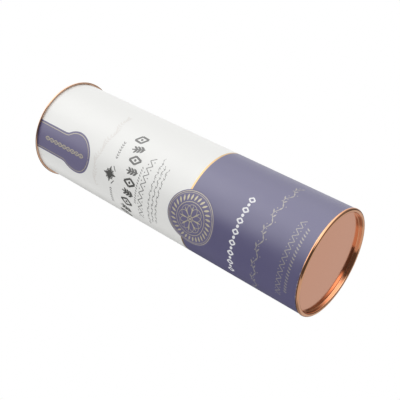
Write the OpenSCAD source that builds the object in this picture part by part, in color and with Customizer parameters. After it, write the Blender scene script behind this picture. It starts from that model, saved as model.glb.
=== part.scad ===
// Cylindrical gift tube for a bottle: a rolled board tube in a printed paper wrap,
// a tinplate end crimped round its foot and a tinplate plug lid in its mouth.
// The tube stands on the rim of its base end at z = 0, and +Z runs up to the lid.
// The front of the print faces -Y.

/* [Tube] */
// Outer diameter of the tube over the printed wrap
tube_d = 95; // [60:0.5:140]
// Length of the board tube between its cut edges
tube_l = 307.4; // [120:0.1:420]
// Thickness of the printed paper wrap
wrap_t = 0.15; // [0.1:0.01:0.3]
// Thickness of the outer board ply
outer_ply_t = 1.25; // [0.6:0.05:2]
// Thickness of the inner board ply
inner_ply_t = 1.15; // [0.6:0.05:2]
// Thickness of the kraft liner
liner_t = 0.2; // [0.1:0.01:0.4]
// Thickness of the glue film between two layers of the wall
glue_t = 0.05; // [0.03:0.01:0.1]

/* [Print] */
// Height of the line between the print's lavender foot and its white upper part
split_h = 120.3; // [20:0.1:300]

/* [Seams] */
// Width of the wrap's glued overlap at the back
lap_w = 9; // [4:0.5:20]
// Gap left where the edges of a rolled ply meet
butt_gap = 0.4; // [0.2:0.05:1]
// Angle of the outer ply's seam, from +X
outer_seam = 200; // [180:1:260]
// Angle of the inner ply's seam, from +X
inner_seam = 20; // [0:1:60]
// Angle of the liner's seam, from +X
liner_seam = 120; // [80:1:160]

/* [Tinplate] */
// Thickness of the tinplate of both ends
tin_t = 0.3; // [0.2:0.01:0.4]

/* [Base end] */
// Depth of the panel inside the rim the tube stands on
base_recess = 3.9; // [3:0.1:9]
// How far the rim stands proud of the wrap
base_proud = 0.36; // [0.2:0.02:1]
// Height of the hem that the board tube stands on
base_seat_h = 2.5; // [2.2:0.05:2.8]
// Radius of the rim's outer shoulder
shoulder_r = 1.8; // [1.5:0.05:2.2]
// Radius of the rim's inner edge
crown_r = 0.8; // [0.6:0.05:1]
// Radius of the corner between panel and chuck wall
base_corner_r = 0.5; // [0.4:0.05:1]
// Lean of the chuck wall, in degrees
chuck_draft = 5; // [0:0.5:8]
// Radial gap between the chuck wall and the liner
chuck_gap = 0.05; // [0.02:0.01:0.2]

/* [Lid] */
// Depth of the lid's panel below its rim
lid_recess = 8; // [5.5:0.1:14]
// Gap left under the lid's flange where it rests on the tube's mouth
lid_seat_gap = 0.05; // [0.02:0.01:0.3]
// Radial gap between the wrap and the rolled curl
curl_gap = 0.3; // [0.3:0.05:1]
// Outer radius of the rolled curl
curl_r = 0.9; // [0.75:0.05:1.2]
// How far round the tinplate is rolled, in degrees
curl_turn = 300; // [200:5:320]
// Radial gap between the plug wall and the liner
plug_gap = 0.3; // [0.2:0.05:0.6]
// Radial gap left by the retaining bead
bead_gap = 0.06; // [0.03:0.01:0.1]
// Radius of the retaining bead's bends
bead_r = 0.8; // [0.7:0.05:1.2]
// Depth of the bead's middle below the tube's mouth
bead_depth = 4; // [3:0.1:5]
// Radius of the corner between the plug wall and the lid's panel
plug_corner_r = 1; // [0.6:0.05:1.5]

/* [Pads] */
// Thickness of the foam pad under the bottle
base_pad_t = 6; // [2:0.5:15]
// Thickness of the foam pad inside the lid
lid_pad_t = 4; // [2:0.5:12]
// Radial gap round the base pad
base_pad_gap = 0.3; // [0.3:0.05:2]
// Width of bare panel left round the lid pad
lid_pad_margin = 1.2; // [0.5:0.1:10]

/* [Hidden] */
$fn = 96;
// Largest step, in degrees, between two points of a bend
bend_step = 12;

tube_r = tube_d / 2;
outer_ply_r = tube_r - wrap_t - glue_t;
inner_ply_r = outer_ply_r - outer_ply_t - glue_t;
liner_r = inner_ply_r - inner_ply_t - glue_t;
bore_r = liner_r - liner_t;
foot_z = base_seat_h;
mouth_z = foot_z + tube_l;
half_tin = tin_t / 2;

// A bend of the tinplate is [centre, radius of the sheet's middle, first angle, last angle].
// Angles that rise turn the sheet to the left of its run, angles that fall to the right.
function polar(r, a) = r * [cos(a), sin(a)];
function left_turn(b) = b[3] > b[2] ? 1 : -1;
function steps(b) = max(4, ceil(abs(b[3] - b[2]) / bend_step));
function face(bends, side) = [
    for (b = bends)
        for (k = [0 : steps(b)])
            b[0] + polar(b[1] + side * left_turn(b) * half_tin, b[2] + (b[3] - b[2]) * k / steps(b))
];
function turned_back(points) = [for (k = [len(points) - 1 : -1 : 0]) points[k]];

// Revolves a sheet that runs flat from the axis at height panel_z through its bends, and
// after the last one straight inward to leg_end_r if that is given
module drawn_sheet(panel_z, bends, leg_end_r = undef) {
    right = face(bends, 1);
    left = face(bends, -1);
    leg_end = is_undef(leg_end_r) ? [] : [
        [leg_end_r, right[len(right) - 1][1]],
        [leg_end_r, left[len(left) - 1][1]]
    ];
    rotate_extrude()
        polygon(concat([[0, panel_z - half_tin]], right, leg_end, turned_back(left),
                       [[0, panel_z + half_tin]]));
}

// A tube rolled from one sheet, open by a gap at its seam
module rolled_sheet(outer_r, sheet_t, seam_angle, gap) {
    open_angle = gap / outer_r * 180 / PI;
    rotate([0, 0, seam_angle + open_angle / 2])
        rotate_extrude(angle = 360 - open_angle)
            translate([outer_r - sheet_t, foot_z])
                square([sheet_t, tube_l]);
}

// Base end: panel, leaning chuck wall, rim, shoulder and the hem folded in under the board
panel_z = base_recess + half_tin;
chuck_r = bore_r - chuck_gap - half_tin;
corner_bend_r = base_corner_r + half_tin;
crown_bend_r = crown_r - half_tin;
shoulder_bend_r = shoulder_r - half_tin;
hem_bend_r = tin_t * 2 / 3;
corner_z = panel_z - corner_bend_r;
corner_centre_r = chuck_r - (corner_z - foot_z) * tan(chuck_draft) - corner_bend_r / cos(chuck_draft);
crown_centre_r = chuck_r + (foot_z - crown_r) * tan(chuck_draft) + crown_bend_r / cos(chuck_draft);
hem_z = foot_z - half_tin - hem_bend_r;
hem_centre_r = tube_r + base_proud - half_tin - hem_bend_r;
shoulder_angle = asin((hem_z - shoulder_r) / (shoulder_bend_r - hem_bend_r));
shoulder_centre_r = hem_centre_r - (shoulder_bend_r - hem_bend_r) * cos(shoulder_angle);
hem_leg_end_r = bore_r + tin_t;

module base_end() {
    color("#c4917b")
        drawn_sheet(panel_z, [
            [[corner_centre_r, corner_z], corner_bend_r, 90, chuck_draft],
            [[crown_centre_r, crown_r], crown_bend_r, 180 + chuck_draft, 270],
            [[shoulder_centre_r, shoulder_r], shoulder_bend_r, -90, shoulder_angle],
            [[hem_centre_r, hem_z], hem_bend_r, shoulder_angle, 90]
        ], hem_leg_end_r);
}

// Lid: panel, plug wall with its retaining bead, flange over the mouth and rolled curl
lid_top_z = mouth_z + lid_seat_gap + tin_t;
lid_panel_z = lid_top_z - lid_recess - half_tin;
plug_r = bore_r - plug_gap - half_tin;
plug_bend_r = plug_corner_r + half_tin;
bead_out = plug_gap - bead_gap;
bead_turn = acos(1 - bead_out / (2 * bead_r));
bead_half_h = 2 * bead_r * sin(bead_turn);
bead_z = mouth_z - bead_depth;
flange_bend_r = plug_gap + half_tin;
curl_bend_r = curl_r - half_tin;
curl_centre_r = tube_r + curl_gap + curl_r;
curl_z = lid_top_z - curl_r;

module lid_shell() {
    color("#c4917b")
        drawn_sheet(lid_panel_z, [
            [[plug_r - plug_bend_r, lid_panel_z + plug_bend_r], plug_bend_r, -90, 0],
            [[plug_r + bead_r, bead_z - bead_half_h], bead_r, 180, 180 - bead_turn],
            [[plug_r + bead_out - bead_r, bead_z], bead_r, -bead_turn, bead_turn],
            [[plug_r + bead_r, bead_z + bead_half_h], bead_r, 180 + bead_turn, 180],
            [[plug_r + flange_bend_r, lid_top_z - half_tin - flange_bend_r], flange_bend_r, 180, 90],
            [[curl_centre_r, curl_z], curl_bend_r, 90, 90 - curl_turn]
        ]);
}

module inner_liner() {
    color("#b89468")
        rolled_sheet(liner_r, liner_t, liner_seam, butt_gap);
}

module inner_ply() {
    color("#9a958c")
        rolled_sheet(inner_ply_r, inner_ply_t, inner_seam, butt_gap);
}

module outer_ply() {
    color("#a29d94")
        rolled_sheet(outer_ply_r, outer_ply_t, outer_seam, butt_gap);
}

// The wrap goes once round, and its end lies over its start behind the tube
module wrap_band(low_z, high_z) {
    lap_angle = lap_w / tube_r * 180 / PI;
    rotate_extrude()
        translate([tube_r - wrap_t, low_z])
            square([wrap_t, high_z - low_z]);
    rotate([0, 0, 90 - lap_angle / 2])
        rotate_extrude(angle = lap_angle)
            translate([tube_r - wrap_t / 2, low_z])
                square([wrap_t * 3 / 2, high_z - low_z]);
}

module printed_wrap() {
    color("#8982a5")
        wrap_band(foot_z, split_h);
    color("#efefec")
        wrap_band(split_h, mouth_z);
}

module base_pad() {
    color("#3c3a3c")
        translate([0, 0, base_recess + tin_t])
            cylinder(r = bore_r - base_pad_gap, h = base_pad_t);
}

module lid_pad() {
    pad_r = plug_r - plug_bend_r - lid_pad_margin;
    color("#3c3a3c")
        translate([0, 0, lid_top_z - lid_recess - tin_t - lid_pad_t])
            cylinder(r = pad_r, h = lid_pad_t);
}

inner_liner();
inner_ply();
outer_ply();
printed_wrap();
base_end();
base_pad();
lid_shell();
lid_pad();
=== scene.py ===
import math

import bmesh
import bpy
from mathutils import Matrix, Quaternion, Vector


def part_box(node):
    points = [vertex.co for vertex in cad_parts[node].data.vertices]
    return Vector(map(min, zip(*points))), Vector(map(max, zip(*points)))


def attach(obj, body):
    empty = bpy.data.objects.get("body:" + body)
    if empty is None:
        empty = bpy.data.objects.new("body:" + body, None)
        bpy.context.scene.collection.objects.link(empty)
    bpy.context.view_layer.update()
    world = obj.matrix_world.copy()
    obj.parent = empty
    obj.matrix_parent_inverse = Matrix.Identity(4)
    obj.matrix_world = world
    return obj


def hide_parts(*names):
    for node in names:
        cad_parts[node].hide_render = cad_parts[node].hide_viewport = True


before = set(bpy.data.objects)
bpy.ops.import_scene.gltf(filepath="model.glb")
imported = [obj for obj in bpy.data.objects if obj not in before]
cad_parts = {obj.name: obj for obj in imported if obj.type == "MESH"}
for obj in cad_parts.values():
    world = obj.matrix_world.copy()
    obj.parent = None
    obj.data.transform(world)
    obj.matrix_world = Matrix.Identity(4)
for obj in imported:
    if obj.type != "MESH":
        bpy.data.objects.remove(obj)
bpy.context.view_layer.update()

# Camera
# The tube is seen from in front of its base end and a little below it, about 0.6 m away.
# The camera is rolled over, so the tube lies across the picture from upper left to lower right.
camera_from_axis = 0.5504
camera_below_rim = 0.2037
camera_round_tube = math.radians(24.2)
view_heading = math.radians(24.65)
view_rise = math.radians(31.8)
view_roll = math.radians(62.2)

view_forward = Vector((-math.sin(view_heading) * math.cos(view_rise),
                       math.cos(view_heading) * math.cos(view_rise),
                       math.sin(view_rise)))
view_turn = view_forward.to_track_quat("-Z", "Y") @ Quaternion((0, 0, 1), -view_roll)
camera = bpy.data.cameras.new("camera")
camera.lens = 65.3
camera_object = bpy.data.objects.new("camera", camera)
camera_object.location = (camera_from_axis * math.sin(camera_round_tube),
                          -camera_from_axis * math.cos(camera_round_tube),
                          -camera_below_rim)
camera_object.rotation_mode = "QUATERNION"
camera_object.rotation_quaternion = view_turn
bpy.context.scene.collection.objects.link(camera_object)
bpy.context.scene.camera = camera_object
bpy.context.scene.view_settings.view_transform = "Standard"

# Studio light
# A white room: an even soft fill, a little stronger from the backdrop behind the tube. The
# tinplate and the film on the paper mirror a long softbox, the white table, a window at the
# left, a lit ceiling over the lid and the unlit rest of the room.
overhead = view_turn @ Vector((0, 1, 0))
sideways = view_turn @ Vector((1, 0, 0))
fill_level = 0.97
backdrop_level = 0.15
side_level = 0.06
mirror_dark = 0.08
mirror_table = 0.57


def maths(tree, operation, *values):
    node = tree.nodes.new("ShaderNodeMath")
    node.operation = operation
    for socket, value in zip(node.inputs, values):
        if isinstance(value, (int, float)):
            socket.default_value = value
        else:
            tree.links.new(value, socket)
    return node.outputs[0]


def spread(tree, value, low, high, to_low=0.0, to_high=1.0, kind="SMOOTHSTEP"):
    node = tree.nodes.new("ShaderNodeMapRange")
    node.interpolation_type = kind
    tree.links.new(value, node.inputs["Value"])
    for name, number in (("From Min", low), ("From Max", high), ("To Min", to_low), ("To Max", to_high)):
        node.inputs[name].default_value = number
    return node.outputs["Result"]


def facing(tree, direction, towards):
    node = tree.nodes.new("ShaderNodeVectorMath")
    node.operation = "DOT_PRODUCT"
    tree.links.new(direction, node.inputs[0])
    node.inputs[1].default_value = towards
    return node.outputs["Value"]


room = bpy.data.worlds.new("white_room")
room.use_nodes = True
bpy.context.scene.world = room
tree = room.node_tree
tree.nodes.clear()
direction = tree.nodes.new("ShaderNodeTexCoord").outputs["Generated"]
up = facing(tree, direction, overhead)
behind = facing(tree, direction, view_forward)
beside = facing(tree, direction, sideways)
rays = tree.nodes.new("ShaderNodeLightPath").outputs

fill = tree.nodes.new("ShaderNodeBackground")
mirrored = tree.nodes.new("ShaderNodeBackground")
white = tree.nodes.new("ShaderNodeBackground")
for light in (fill, mirrored, white):
    light.inputs["Color"].default_value = (1, 1, 1, 1)
bright_side = facing(tree, direction, backdrop_level * view_forward + side_level * sideways)
tree.links.new(maths(tree, "ADD", bright_side, fill_level), fill.inputs["Strength"])
lifted = facing(tree, direction, 0.6 * overhead + 0.8 * sideways)
left_edge = facing(tree, direction, overhead - 0.5 * sideways + 0.3 * view_forward)
softbox = maths(tree, "MAXIMUM", spread(tree, lifted, -0.1, 0.4),
                maths(tree, "MULTIPLY", spread(tree, left_edge, 0.2, 0.6), spread(tree, behind, -0.9, -0.6)))
for part in (spread(tree, up, -0.1, 0.15), spread(tree, beside, 0.3, 0.8, 1.56, 0.2),
             spread(tree, behind, 0.0, 0.6, 1, 0.62)):
    softbox = maths(tree, "MULTIPLY", softbox, part)
in_front = facing(tree, direction, view_forward - 0.3 * sideways - 0.5 * overhead)
far_left = facing(tree, direction, sideways - 0.4 * view_forward)
underneath = facing(tree, direction, 0.15 * sideways - 0.9 * overhead + 0.4 * view_forward)
table_light = spread(tree, up, -0.2, -0.05, mirror_table, 0)
for part in (spread(tree, in_front, -0.32, -0.18), spread(tree, behind, 0.68, 0.86, 1, 0.25),
             spread(tree, far_left, -0.55, -0.3, 0.1, 1), spread(tree, underneath, 0.9, 0.98, 1, 0.45)):
    table_light = maths(tree, "MULTIPLY", table_light, part)
window = spread(tree, facing(tree, direction, -0.66 * sideways - 0.31 * overhead + 0.68 * view_forward),
                0.95, 1.0, 0, 0.9)
ceiling = spread(tree, facing(tree, direction, (0, 0, 1)), 0.6, 0.85, 0, 0.5)
brightest = mirror_dark
for light in (softbox, table_light, window, ceiling):
    brightest = maths(tree, "MAXIMUM", light, brightest)
tree.links.new(brightest, mirrored.inputs["Strength"])
lit = tree.nodes.new("ShaderNodeMixShader")
tree.links.new(rays["Is Glossy Ray"], lit.inputs["Fac"])
tree.links.new(fill.outputs[0], lit.inputs[1])
tree.links.new(mirrored.outputs[0], lit.inputs[2])
seen = tree.nodes.new("ShaderNodeMixShader")
tree.links.new(maths(tree, "MAXIMUM", rays["Is Camera Ray"], rays["Is Transmission Ray"]), seen.inputs["Fac"])
tree.links.new(lit.outputs[0], seen.inputs[1])
tree.links.new(white.outputs[0], seen.inputs[2])
tree.links.new(seen.outputs[0], tree.nodes.new("ShaderNodeOutputWorld").inputs["Surface"])

lamp_size = 0.7
lamp_distance = 1.1
lamp = bpy.data.lights.new("softbox", "AREA")
lamp.shape = "DISK"
lamp.size = lamp_size
lamp.energy = 0.6
lamp_object = bpy.data.objects.new("softbox", lamp)
lamp_at = Vector((0.75, -0.45, 0.85)).normalized() * lamp_distance
lamp_object.location = lamp_at
lamp_object.rotation_mode = "QUATERNION"
lamp_object.rotation_quaternion = (-lamp_at).to_track_quat("-Z", "Y")
bpy.context.scene.collection.objects.link(lamp_object)

# Floor
# A plain pale table top at the height of the rim. Only its upper side is there to be seen,
# so the base end is not hidden from below, and it fades into the white room at its edge.
floor_radius = 2.5
fade_start = 0.45
fade_end = 1.6

table = bmesh.new()
bmesh.ops.create_circle(table, cap_ends=True, segments=64, radius=floor_radius)
floor_mesh = bpy.data.meshes.new("floor")
table.to_mesh(floor_mesh)
table.free()
floor = bpy.data.objects.new("floor", floor_mesh)
bpy.context.scene.collection.objects.link(floor)
floor.visible_diffuse = False
floor.visible_glossy = False
floor.visible_shadow = False
floor_paint = bpy.data.materials.new("pale_floor")
floor_paint.use_nodes = True
tree = floor_paint.node_tree
tree.nodes.clear()
place = tree.nodes.new("ShaderNodeTexCoord").outputs["Object"]
length = tree.nodes.new("ShaderNodeVectorMath")
length.operation = "LENGTH"
tree.links.new(place, length.inputs[0])
matt = tree.nodes.new("ShaderNodeBsdfDiffuse")
matt.inputs["Color"].default_value = (0.93, 0.93, 0.935, 1)
glow = tree.nodes.new("ShaderNodeEmission")
faded = tree.nodes.new("ShaderNodeMixShader")
tree.links.new(spread(tree, length.outputs["Value"], fade_start, fade_end), faded.inputs["Fac"])
tree.links.new(matt.outputs[0], faded.inputs[1])
tree.links.new(glow.outputs[0], faded.inputs[2])
one_sided = tree.nodes.new("ShaderNodeMixShader")
tree.links.new(tree.nodes.new("ShaderNodeNewGeometry").outputs["Backfacing"], one_sided.inputs["Fac"])
tree.links.new(faded.outputs[0], one_sided.inputs[1])
tree.links.new(tree.nodes.new("ShaderNodeBsdfTransparent").outputs[0], one_sided.inputs[2])
tree.links.new(one_sided.outputs[0], tree.nodes.new("ShaderNodeOutputMaterial").inputs["Surface"])
floor_mesh.materials.append(floor_paint)

# Board tube
# Two plies of grey millboard rolled round a mandrel and glued, each with a butt seam. Only
# their cut edges show, at the mouth, when the lid is off.
mm = 0.001


def finish(name):
    material = bpy.data.materials.new(name)
    material.use_nodes = True
    tree = material.node_tree
    return material, tree, tree.nodes["Principled BSDF"]


def speckle(tree, scale, detail=3.0, stretch=(1, 1, 1)):
    mapping = tree.nodes.new("ShaderNodeMapping")
    mapping.inputs["Scale"].default_value = stretch
    tree.links.new(tree.nodes.new("ShaderNodeTexCoord").outputs["Object"], mapping.inputs["Vector"])
    noise = tree.nodes.new("ShaderNodeTexNoise")
    noise.inputs["Scale"].default_value = scale
    noise.inputs["Detail"].default_value = detail
    tree.links.new(mapping.outputs[0], noise.inputs["Vector"])
    return noise.outputs["Fac"]


def tint(tree, amount, colour_a, colour_b):
    node = tree.nodes.new("ShaderNodeMix")
    node.data_type = "RGBA"
    if isinstance(amount, (int, float)):
        node.inputs["Factor"].default_value = amount
    else:
        tree.links.new(amount, node.inputs["Factor"])
    for name, colour in (("A", colour_a), ("B", colour_b)):
        socket = next(s for s in node.inputs if s.name == name and s.type == "RGBA")
        if isinstance(colour, tuple):
            socket.default_value = (*colour, 1)
        else:
            tree.links.new(colour, socket)
    return next(s for s in node.outputs if s.type == "RGBA")


def roughen(tree, shader, height, depth, strength=1.0):
    bump = tree.nodes.new("ShaderNodeBump")
    bump.inputs["Strength"].default_value = strength
    bump.inputs["Distance"].default_value = depth
    tree.links.new(height, bump.inputs["Height"])
    tree.links.new(bump.outputs[0], shader.inputs["Normal"])
    return bump


greyboard, tree, shader = finish("greyboard")
fibres = speckle(tree, 1400, 4)
layers = speckle(tree, 900, 2, (1, 1, 0.05))
pulp = tint(tree, spread(tree, fibres, 0.3, 0.7), (0.30, 0.275, 0.24), (0.47, 0.44, 0.40))
tree.links.new(tint(tree, spread(tree, layers, 0.55, 0.75, 0, 0.5), pulp, (0.22, 0.19, 0.16)),
               shader.inputs["Base Color"])
shader.inputs["Roughness"].default_value = 0.9
roughen(tree, shader, fibres, 0.12 * mm)
for node in ("inner_ply", "outer_ply"):
    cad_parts[node].material_slots[0].material = greyboard

# Liner
# Thin brown kraft paper glued inside the board, with long fibres and a butt seam that
# shows as a dark line down the bore.
kraft, tree, shader = finish("kraft_paper")
strands = speckle(tree, 700, 5, (1, 1, 0.12))
flecks = speckle(tree, 2600, 2)
brown = tint(tree, spread(tree, strands, 0.3, 0.7), (0.36, 0.23, 0.125), (0.50, 0.34, 0.20))
tree.links.new(tint(tree, spread(tree, flecks, 0.66, 0.78), brown, (0.20, 0.12, 0.06)),
               shader.inputs["Base Color"])
shader.inputs["Roughness"].default_value = 0.8
roughen(tree, shader, strands, 0.05 * mm)
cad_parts["inner_liner"].material_slots[0].material = kraft

# Printed wrap
# One sheet of art paper under matt film, glued round the board and lapped at the back. It
# is printed lavender up to a gold line and white above it.
wrap_low, wrap_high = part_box("printed_wrap")
wrap_radius = wrap_high.x
split_height = 120.3 * mm
gold_line_width = 1.7 * mm
lavender = (0.104, 0.094, 0.212)
paper_white = (0.845, 0.845, 0.825)
gold_colour = (0.72, 0.50, 0.26)

wrap_paper, tree, shader = finish("laminated_print")
place = tree.nodes.new("ShaderNodeSeparateXYZ")
tree.links.new(tree.nodes.new("ShaderNodeTexCoord").outputs["Object"], place.inputs[0])
height = place.outputs["Z"]
grain = speckle(tree, 2200, 3)
cloud = speckle(tree, 60, 3)
printed_white = tint(tree, spread(tree, grain, 0.35, 0.65, 0, 0.35), paper_white, (0.80, 0.80, 0.775))
printed_lavender = tint(tree, spread(tree, grain, 0.3, 0.7, 0, 0.5), lavender, (0.094, 0.085, 0.196))
is_white = spread(tree, height, split_height - 0.05 * mm, split_height + 0.05 * mm)
two_tone = tint(tree, is_white, printed_lavender, printed_white)
from_line = maths(tree, "ABSOLUTE", maths(tree, "SUBTRACT", height, split_height))
is_gold = spread(tree, from_line, gold_line_width / 2 - 0.06 * mm, gold_line_width / 2 + 0.06 * mm, 1, 0)
rubbed = maths(tree, "MULTIPLY",
               spread(tree, height, wrap_low.z, wrap_low.z + 0.9 * mm, 1, 0),
               spread(tree, speckle(tree, 500, 4), 0.5, 0.62))
worn = tint(tree, maths(tree, "MULTIPLY", rubbed, 0.6), two_tone, (0.62, 0.60, 0.58))
tree.links.new(tint(tree, is_gold, worn, gold_colour), shader.inputs["Base Color"])
tree.links.new(is_gold, shader.inputs["Metallic"])
film = spread(tree, cloud, 0.3, 0.7, 0.33, 0.39, "LINEAR")
tree.links.new(film, shader.inputs["Roughness"])
shader.inputs["Specular IOR Level"].default_value = 0.9
shader.inputs["IOR"].default_value = 1.7
film_bump = roughen(tree, shader, grain, 0.006 * mm)
ripple = tree.nodes.new("ShaderNodeBump")
ripple.inputs["Strength"].default_value = 1.0
ripple.inputs["Distance"].default_value = 0.35 * mm
tree.links.new(speckle(tree, 26, 1.5, (1, 1, 0.35)), ripple.inputs["Height"])
tree.links.new(ripple.outputs[0], film_bump.inputs["Normal"])
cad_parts["printed_wrap"].material_slots[0].material = wrap_paper

# Closure tag
# A lavender tag printed down from the mouth, a strip that ends in a round, with a fine pale
# gold border and a braid of gold foil down its middle.
ink_thickness = 0.02
tag_strip_half = 14.15
tag_round_radius = 20.1
tag_round_height = 255.9
tag_shoulder = 5.0
tag_inset = 2.1


def stroke(art, path, width, steps):
    grid = bmesh.ops.create_grid(art, x_segments=steps, y_segments=1, size=1)
    for v in grid["verts"]:
        t, side = (v.co.x + 1) / 2, v.co.y / 2
        here, ahead = Vector(path(t)), Vector(path(t + 0.0005))
        along = (ahead - here).normalized()
        across = side * (width(t) if callable(width) else width)
        v.co = (here.x - along.y * across, 0, here.y + along.x * across)


def straight(start, end):
    return lambda t: (start[0] + (end[0] - start[0]) * t, start[1] + (end[1] - start[1]) * t)


def circling(centre, radius, turn=2 * math.pi, start=0.0):
    return lambda t: (centre[0] + radius * math.cos(start + turn * t),
                      centre[1] + radius * math.sin(start + turn * t))


def leaf(art, start, lean, length, width):
    end = (start[0] + length * math.sin(lean), start[1] + length * math.cos(lean))
    stroke(art, straight(start, end), lambda t: 0.04 + width * math.sin(math.pi * min(t, 1)) ** 0.8, 10)


def spot(art, centre, radius):
    ring = bmesh.ops.create_circle(art, cap_ends=True, segments=20, radius=radius)
    for v in ring["verts"]:
        v.co = (centre[0] + v.co.x, 0, centre[1] + v.co.y)


def lozenge(art, centre, half_width, half_height, line, lean=0.0):
    corners = [(0, half_height), (half_width, 0), (0, -half_height), (-half_width, 0), (0, half_height)]
    turned = [(centre[0] + x * math.cos(lean) + y * math.sin(lean),
               centre[1] - x * math.sin(lean) + y * math.cos(lean)) for x, y in corners]
    for first, last in zip(turned, turned[1:]):
        stroke(art, straight(first, last), line, 3)


def printing(name, art, ink, layer=0):
    bmesh.ops.remove_doubles(art, verts=art.verts, dist=0.003)
    bmesh.ops.dissolve_degenerate(art, edges=art.edges, dist=0.0005)
    raised = bmesh.ops.extrude_face_region(art, geom=art.faces[:])["geom"]
    for v in raised:
        if isinstance(v, bmesh.types.BMVert):
            v.co.y = ink_thickness
    bmesh.ops.recalc_face_normals(art, faces=art.faces)
    for v in art.verts:
        radius = wrap_radius + (0.01 + 1.3 * ink_thickness * layer + v.co.y) * mm
        angle = v.co.x * mm / wrap_radius
        v.co = (radius * math.sin(angle), -radius * math.cos(angle), v.co.z * mm)
    mesh = bpy.data.meshes.new(name)
    art.to_mesh(mesh)
    art.free()
    mesh.shade_smooth()
    mesh.set_sharp_from_angle(angle=math.radians(30))
    mesh.materials.append(ink)
    piece = bpy.data.objects.new(name, mesh)
    bpy.context.scene.collection.objects.link(piece)
    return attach(piece, "tube")


def ink(name, colour, shine=0.0, gloss=0.9):
    material, tree, shader = finish(name)
    grain = speckle(tree, 2200, 3)
    paler = tuple(min(1, c * 1.08 + 0.01) for c in colour)
    tree.links.new(tint(tree, spread(tree, grain, 0.3, 0.7), colour, paler), shader.inputs["Base Color"])
    shader.inputs["Metallic"].default_value = shine
    shader.inputs["Roughness"].default_value = 0.36
    shader.inputs["Specular IOR Level"].default_value = gloss
    shader.inputs["IOR"].default_value = 1.7
    roughen(tree, shader, grain, 0.006 * mm)
    return material


def tag_half_width(height, inset=0.0):
    above = height - tag_round_height
    radius = tag_round_radius - inset
    strip = tag_strip_half - inset
    round_half = math.sqrt(max(radius * radius - above * above, 0))
    if above < 0:
        return round_half
    neck = math.sqrt(radius * radius - strip * strip)
    if above < neck - 1.0:
        return round_half
    fade = min(max((above - neck + 1.0) / tag_shoulder, 0), 1)
    start = math.sqrt(max(radius * radius - (neck - 1.0) ** 2, 0))
    return strip + (start - strip) * (1 - fade) ** 2


tag_ink = ink("tag_ink", (0.132, 0.118, 0.228), gloss=0.6)
pale_gold = ink("pale_gold_foil", (0.52, 0.47, 0.35), 0.3)
tag_top = wrap_high.z / mm
tag_foot = tag_round_height - tag_round_radius

art = bmesh.new()
tag_rows = 90
grid = bmesh.ops.create_grid(art, x_segments=30, y_segments=tag_rows, size=1)
for v in grid["verts"]:
    height = tag_foot + (tag_top - tag_foot) * (1 - math.cos((v.co.y + 1) * math.pi / 4))
    v.co = (v.co.x * tag_half_width(height), 0, height)
printing("tag", art, tag_ink)

art = bmesh.new()
border_foot = tag_foot + tag_inset
border_low = border_foot + 0.01
for side in (-1, 1):
    stroke(art,
           lambda t: (side * tag_half_width(border_low + (tag_top - border_low) * t ** 2, tag_inset),
                      border_low + (tag_top - border_low) * t ** 2),
           0.6, 150)
printing("tag_border", art, pale_gold, 1)

art = bmesh.new()
braid_low, braid_high = tag_round_height - 11.5, 297.5
braid_turns = 9
braid_half = 1.7
for side in (-1, 1):
    stroke(art,
           lambda t: (side * braid_half * math.sin(math.pi * braid_turns * t),
                      braid_low + (braid_high - braid_low) * t),
           0.9, 180)
for k in range(braid_turns):
    spot(art, (0, braid_low + (braid_high - braid_low) * (k + 0.5) / braid_turns), 0.7)
printing("tag_braid", art, pale_gold, 1)

# Upper print
# Charcoal ink on the white paper: a compass star with a sprig at each side, a hanging band
# of bold lozenges and ears of corn, a zigzag, and fine waves. A pale garland lies above.
charcoal = ink("charcoal_ink", (0.060, 0.060, 0.055))
soft_grey = ink("soft_grey_ink", (0.15, 0.15, 0.145))
garland_grey = ink("garland_ink", (0.74, 0.72, 0.69))

art = bmesh.new()
for k in range(30):
    across = -21 + 2.6 * k
    rise = 225 + 3.2 * math.sin(0.21 * k) + 1.2 * math.sin(0.83 * k)
    leaf(art, (across, rise), math.radians(50 + 20 * math.sin(k)), 3.8, 1.2)
    leaf(art, (across, rise), math.radians(130 - 20 * math.sin(k)), 3.4, 1.1)
stroke(art, lambda t: (-21 + 77 * t, 225 + 3.2 * math.sin(6.2 * t) + 1.2 * math.sin(24.5 * t)), 0.3, 60)
printing("garland", art, garland_grey)

art = bmesh.new()
star_at = (-1.5, 208.2)
for k in range(16):
    leaf(art, star_at, k * math.pi / 8, (7.6, 4.4, 6.0, 4.4)[k % 4], (2.0, 1.0, 1.5, 1.0)[k % 4])
stroke(art, circling(star_at, 4.6), 0.45, 40)
for side in (-1, 1):
    stroke(art, straight((star_at[0] + side * 4.4, 202.2), (star_at[0] + side * 8.6, 205.4)), 0.8, 6)
printing("star", art, charcoal)

art = bmesh.new()
for side in (-1, 1):
    for k in range(7):
        foot = (side * (14.0 + 2.5 * k), 205.8)
        leaf(art, foot, side * math.radians(55), 2.4, 0.8)
        leaf(art, foot, side * math.radians(125), 2.4, 0.8)
printing("star_sprigs", art, soft_grey)

art = bmesh.new()
band_radius = 92
band_foot = 183.5
band_count = 9
for k in range(band_count):
    lean = math.radians(25.5 - 51 * k / (band_count - 1))
    centre = (-band_radius * math.sin(lean), band_foot + band_radius * (1 - math.cos(lean)))
    if k % 2 == 0:
        lozenge(art, centre, 3.7, 6.6, 1.9, lean)
        spot(art, centre, 1.2)
        continue
    for reach in (-6.0, -2.6, 0.8):
        foot = (centre[0] + reach * math.sin(lean), centre[1] + reach * math.cos(lean))
        for side in (-1, 1):
            leaf(art, foot, lean + side * math.radians(36), 5.4, 2.0)
    stroke(art, straight((centre[0] - 6.6 * math.sin(lean), centre[1] - 6.6 * math.cos(lean)),
                         (centre[0] + 6.8 * math.sin(lean), centre[1] + 6.8 * math.cos(lean))), 1.1, 6)
printing("hanging_band", art, charcoal)


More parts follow.
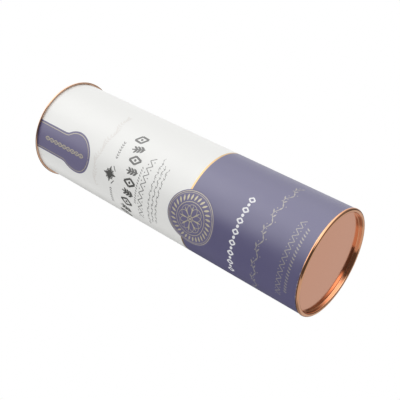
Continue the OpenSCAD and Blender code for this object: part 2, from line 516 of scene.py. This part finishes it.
def zigzag(art, left, right, height, rise, turns, line):
    corners = [(left + (right - left) * k / turns, height + (rise if k % 2 else -rise)) for k in range(turns + 1)]
    for first, last in zip(corners, corners[1:]):
        stroke(art, straight(first, last), line, 4)
        spot(art, (first[0], 2 * height - first[1]), line * 0.75)


art = bmesh.new()
zigzag(art, -30, 30, 168.5, 2.6, 16, 0.75)
for k in range(15):
    leaf(art, (-16.8 + 2.4 * k, 173.6), math.radians(40), 2.6, 0.9)
printing("zigzag_row", art, soft_grey)

art = bmesh.new()
for row_height, left, right in ((158.4, -33, 34), (154.0, -28, 28), (149.6, -27, 27)):
    waves = (right - left) * 0.8
    stroke(art, lambda t: (left + (right - left) * t, row_height + 0.85 * math.sin(waves * t)),
           lambda t: 0.42 + 0.2 * math.sin(2.7 * waves * t), int((right - left) * 4))
    for k in range(int((right - left) / 4.2)):
        leaf(art, (left + 2 + 4.2 * k, row_height - 1.3), math.radians(20), 2.7, 0.55)
printing("fine_waves", art, soft_grey)

# Seal
# A round lavender seal printed over the gold line: foil rings, a ring of slanted leaves and
# an eight-petalled flower in the middle.
seal_radius = 24.9
seal_at = (-2.5, 111.4)
seal_gold = ink("seal_foil", (0.60, 0.54, 0.38), 0.3)
art = bmesh.new()
grid = bmesh.ops.create_grid(art, x_segments=40, y_segments=64, size=1)
for v in grid["verts"]:
    height = -math.cos((v.co.y + 1) * math.pi / 2)
    v.co = (seal_at[0] + v.co.x * seal_radius * math.sqrt(max(1 - height * height, 0)), 0,
            seal_at[1] + seal_radius * height)
printing("seal", art, tag_ink)

art = bmesh.new()
stroke(art, circling(seal_at, seal_radius - 1.2), 0.5, 160)
stroke(art, circling(seal_at, seal_radius - 2.6), 0.3, 160)
stroke(art, circling(seal_at, 14.6), 0.5, 120)
for k in range(30):
    angle = 2 * math.pi * k / 30
    foot = (seal_at[0] + 15.9 * math.sin(angle), seal_at[1] + 15.9 * math.cos(angle))
    leaf(art, foot, angle + math.radians(24), 5.6, 1.7)
for k in range(8):
    angle = 2 * math.pi * k / 8
    heart = (seal_at[0] + 7.2 * math.sin(angle), seal_at[1] + 7.2 * math.cos(angle))
    stroke(art, circling(heart, 5.2), 0.38, 48)
    leaf(art, (seal_at[0] + 3.0 * math.sin(angle), seal_at[1] + 3.0 * math.cos(angle)), angle, 8.5, 1.1)
stroke(art, circling(seal_at, 2.1), 0.5, 32)
spot(art, seal_at, 1.0)
printing("seal_foil", art, seal_gold, 1)

# Lower print
# On the lavender: a bold row of white lozenges and dots, a vine of foil that runs round the
# front, and a zigzag over a row of leaves near the foot.
white_ink = ink("white_ink", (0.80, 0.80, 0.82))
silver_gold = ink("silver_gold_foil", (0.40, 0.375, 0.35), 0.3)

art = bmesh.new()
bold_count = 15
for k in range(bold_count):
    across = -31.5 + 67 * k / (bold_count - 1)
    if k % 2 == 0:
        lozenge(art, (across, 66.6), 2.2, 2.9, 1.3)
    else:
        spot(art, (across, 66.6), 1.35)
printing("lozenge_row", art, white_ink)

art = bmesh.new()
vine_left, vine_right, vine_height = -54, 70, 43.0


def vine(t):
    across = vine_left + (vine_right - vine_left) * t
    return across, vine_height + 1.9 * math.sin(0.42 * across)


stroke(art, vine, 0.5, 300)
for k in range(33):
    stem = vine((k + 0.5) / 33)
    leaf(art, stem, math.radians(62 if k % 2 else 118), 3.6, 1.1)
    spot(art, (stem[0] + 1.2, stem[1] + (-2.0 if k % 2 else 2.0)), 0.45)
printing("vine", art, silver_gold)

art = bmesh.new()
zigzag(art, -28, 40, 19.2, 2.2, 22, 0.55)
for k in range(21):
    across = -21.5 + 2.75 * k
    leaf(art, (across, 11.2), math.radians(35), 3.2, 0.9)
    spot(art, (across + 0.6, 11.4), 0.42)
printing("foot_rows", art, silver_gold)

# Base end
# Drawn from one disc of copper-lacquered tinplate: a flat satin panel, a leaning chuck wall,
# the rounded rim that the tube stands on, and a hem folded in under the edge of the board.
tin = 0.3
liner_low, liner_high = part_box("inner_liner")
base_low, base_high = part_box("base_end")
board_foot = liner_low.z / mm
bore = wrap_radius / mm - 2.9
base_panel = base_high.z / mm - tin / 2
chuck_lean = math.radians(5)
chuck_radius = bore - 0.05 - tin / 2
base_corner = 0.65
crown = 1.3
shoulder = 1.65
hem = tin * 2 / 3
hem_height = board_foot - tin / 2 - hem
hem_middle = base_high.x / mm - tin / 2 - hem
shoulder_end = math.asin((hem_height - shoulder - tin / 2) / (shoulder - hem))
shoulder_middle = hem_middle - (shoulder - hem) * math.cos(shoulder_end)
corner_height = base_panel - base_corner
corner_middle = (chuck_radius - (corner_height - board_foot) * math.tan(chuck_lean)
                 - base_corner / math.cos(chuck_lean))
crown_middle = (chuck_radius + (board_foot - crown - tin / 2) * math.tan(chuck_lean)
                + crown / math.cos(chuck_lean))


def bend(centre, radius, first, last):
    steps = max(6, math.ceil(abs(last - first) / math.radians(6)))
    angles = [first + (last - first) * k / steps for k in range(steps + 1)]
    return [(centre[0] + radius * math.cos(a), centre[1] + radius * math.sin(a)) for a in angles]


def drawn_sheet(name, profile, material, body, node):
    sheet = bmesh.new()
    corners = [sheet.verts.new((r * mm, 0, z * mm)) for r, z in profile]
    edges = [sheet.edges.new(pair) for pair in zip(corners, corners[1:])]
    bmesh.ops.spin(sheet, geom=corners + edges, axis=(0, 0, 1), cent=(0, 0, 0),
                   angle=2 * math.pi, steps=224, use_merge=True)
    bmesh.ops.remove_doubles(sheet, verts=sheet.verts, dist=0.001 * mm)
    bmesh.ops.recalc_face_normals(sheet, faces=sheet.faces)
    mesh = bpy.data.meshes.new(name)
    sheet.to_mesh(mesh)
    sheet.free()
    mesh.shade_smooth()
    mesh.materials.append(material)
    piece = bpy.data.objects.new(name, mesh)
    bpy.context.scene.collection.objects.link(piece)
    wall = piece.modifiers.new("sheet_thickness", "SOLIDIFY")
    wall.thickness = tin * mm
    wall.offset = 0
    wall.use_even_offset = True
    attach(piece, body)
    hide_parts(node)
    return piece


def tinplate(name, panel_height, panel_radius, lacquer_a, lacquer_b):
    material, tree, shader = finish(name)
    place = tree.nodes.new("ShaderNodeSeparateXYZ")
    tree.links.new(tree.nodes.new("ShaderNodeTexCoord").outputs["Object"], place.inputs[0])
    x, y, z = place.outputs
    radius = maths(tree, "SQRT", maths(tree, "ADD", maths(tree, "MULTIPLY", x, x), maths(tree, "MULTIPLY", y, y)))
    satin = maths(tree, "MULTIPLY",
                  spread(tree, radius, (panel_radius - 0.15) * mm, (panel_radius + 0.15) * mm, 1, 0),
                  spread(tree, maths(tree, "ABSOLUTE", maths(tree, "SUBTRACT", z, panel_height * mm)),
                         0.2 * mm, 0.3 * mm, 1, 0))
    lathe = tree.nodes.new("ShaderNodeTexNoise")
    lathe.noise_dimensions = "1D"
    lathe.inputs["Scale"].default_value = 4200
    lathe.inputs["Detail"].default_value = 4
    tree.links.new(maths(tree, "ADD", radius, maths(tree, "MULTIPLY", z, 0.7)), lathe.inputs["W"])
    dapple = speckle(tree, 3200, 3)
    cloud = speckle(tree, 45, 3)
    lacquer = tint(tree, spread(tree, cloud, 0.3, 0.7), lacquer_a, lacquer_b)
    satin_lacquer = tint(tree, spread(tree, dapple, 0.3, 0.7), (0.92, 0.455, 0.295), (0.88, 0.43, 0.275))
    tree.links.new(tint(tree, satin, lacquer, satin_lacquer), shader.inputs["Base Color"])
    shader.inputs["Metallic"].default_value = 1.0
    bright_roughness = spread(tree, lathe.outputs["Fac"], 0.3, 0.7, 0.07, 0.10, "LINEAR")
    satin_roughness = spread(tree, dapple, 0.3, 0.7, 0.11, 0.15, "LINEAR")
    both = tree.nodes.new("ShaderNodeMix")
    tree.links.new(satin, both.inputs["Factor"])
    tree.links.new(bright_roughness, both.inputs["A"])
    tree.links.new(satin_roughness, both.inputs["B"])
    tree.links.new(both.outputs["Result"], shader.inputs["Roughness"])
    lines = roughen(tree, shader, lathe.outputs["Fac"], 0.0004 * mm)
    sand = tree.nodes.new("ShaderNodeBump")
    sand.inputs["Distance"].default_value = 0.0012 * mm
    tree.links.new(satin, sand.inputs["Strength"])
    tree.links.new(dapple, sand.inputs["Height"])
    tree.links.new(sand.outputs[0], lines.inputs["Normal"])
    return material


base_profile = ([(0, base_panel), (corner_middle * 0.5, base_panel), (corner_middle - 0.6, base_panel)]
                + bend((corner_middle, corner_height), base_corner, math.pi / 2, chuck_lean)
                + bend((crown_middle, crown + tin / 2), crown, math.pi + chuck_lean, math.pi * 3 / 2)
                + bend((shoulder_middle, shoulder + tin / 2), shoulder, -math.pi / 2, shoulder_end)
                + bend((hem_middle, hem_height), hem, shoulder_end, math.pi / 2)
                + [(bore + tin, hem_height + hem)])
base_tin = tinplate("base_tinplate", base_panel, corner_middle, (0.95, 0.49, 0.28), (0.92, 0.465, 0.26))
drawn_sheet("base_tin", base_profile, base_tin, "tube", "base_end")

# Lid
# A plug lid drawn from the same tinplate: a recessed panel, a plug wall with a retaining
# bead, a flange that rests on the tube's edge and a rolled curl that stands proud of it.
lid_low, lid_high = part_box("lid_shell")
lid_top = lid_high.z / mm
lid_recess = 8
lid_panel = lid_top - lid_recess - tin / 2
curl = 0.75
curl_middle = lid_high.x / mm - curl - tin / 2
plug_gap = 0.3
plug = bore - plug_gap - tin / 2
plug_corner = 1.15
bead_radius = 0.8
bead_out = plug_gap - 0.06
bead_turn = math.acos(1 - bead_out / (2 * bead_radius))
bead_rise = 2 * bead_radius * math.sin(bead_turn)
bead_height = wrap_high.z / mm - 4
flange_bend = plug_gap + tin / 2
curl_turn = math.radians(300)

lid_profile = ([(0, lid_panel), (plug * 0.5, lid_panel), (plug - plug_corner - 0.6, lid_panel)]
               + bend((plug - plug_corner, lid_panel + plug_corner), plug_corner, -math.pi / 2, 0)
               + bend((plug + bead_radius, bead_height - bead_rise), bead_radius, math.pi, math.pi - bead_turn)
               + bend((plug + bead_out - bead_radius, bead_height), bead_radius, -bead_turn, bead_turn)
               + bend((plug + bead_radius, bead_height + bead_rise), bead_radius, math.pi + bead_turn, math.pi)
               + bend((plug + flange_bend, lid_top - tin / 2 - flange_bend), flange_bend, math.pi, math.pi / 2)
               + bend((curl_middle, lid_top - tin / 2 - curl), curl, math.pi / 2, math.pi / 2 - curl_turn))
lid_tin = tinplate("lid_tinplate", lid_panel, plug - plug_corner, (0.88, 0.57, 0.40), (0.85, 0.54, 0.375))
drawn_sheet("lid_tin", lid_profile, lid_tin, "lid", "lid_shell")

# Foam pads
# Discs of soft charcoal foam, cut with a die so their edges are a little drawn in. One lies
# on the base end under the bottle and one is glued inside the lid.
foam, tree, shader = finish("charcoal_foam")
cells = speckle(tree, 2400, 2)
pores = tree.nodes.new("ShaderNodeTexVoronoi")
pores.inputs["Scale"].default_value = 1500
tree.links.new(tree.nodes.new("ShaderNodeTexCoord").outputs["Object"], pores.inputs["Vector"])
# Painted shade: the foam is painted darker in the middle of each pore, where the bump sinks deepest, over its
# even charcoal colour.
tree.links.new(tint(tree, spread(tree, pores.outputs["Distance"], 0.1, 0.5), (0.012, 0.012, 0.013),
                    (0.045, 0.044, 0.046)), shader.inputs["Base Color"])
shader.inputs["Roughness"].default_value = 0.95
roughen(tree, shader, maths(tree, "ADD", pores.outputs["Distance"], cells), 0.15 * mm)


def foam_disc(name, node, body):
    low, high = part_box(node)
    middle = (low + high) / 2
    radius = (high.x - low.x) / 2
    half_height = (high.z - low.z) / 2
    pad = bmesh.new()
    bmesh.ops.create_cone(pad, cap_ends=True, cap_tris=False, segments=128, radius1=radius, radius2=radius,
                          depth=2 * half_height)
    rims = [e for e in pad.edges if abs(e.verts[0].co.z - e.verts[1].co.z) < half_height * 0.1]
    bmesh.ops.bevel(pad, geom=rims, offset=0.8 * mm, segments=4, profile=0.5, affect="EDGES", material=-1)
    for cap in [f for f in pad.faces if abs(f.normal.z) > 0.9 and len(f.verts) > 4]:
        bmesh.ops.inset_individual(pad, faces=[cap], thickness=radius * 0.12, depth=0)
    bmesh.ops.translate(pad, verts=pad.verts, vec=middle)
    mesh = bpy.data.meshes.new(name)
    pad.to_mesh(mesh)
    pad.free()
    mesh.shade_smooth()
    mesh.set_sharp_from_angle(angle=math.radians(50))
    mesh.materials.append(foam)
    piece = bpy.data.objects.new(name, mesh)
    bpy.context.scene.collection.objects.link(piece)
    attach(piece, body)
    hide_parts(node)
    return piece


foam_disc("base_foam", "base_pad", "tube")
foam_disc("lid_foam", "lid_pad", "lid")
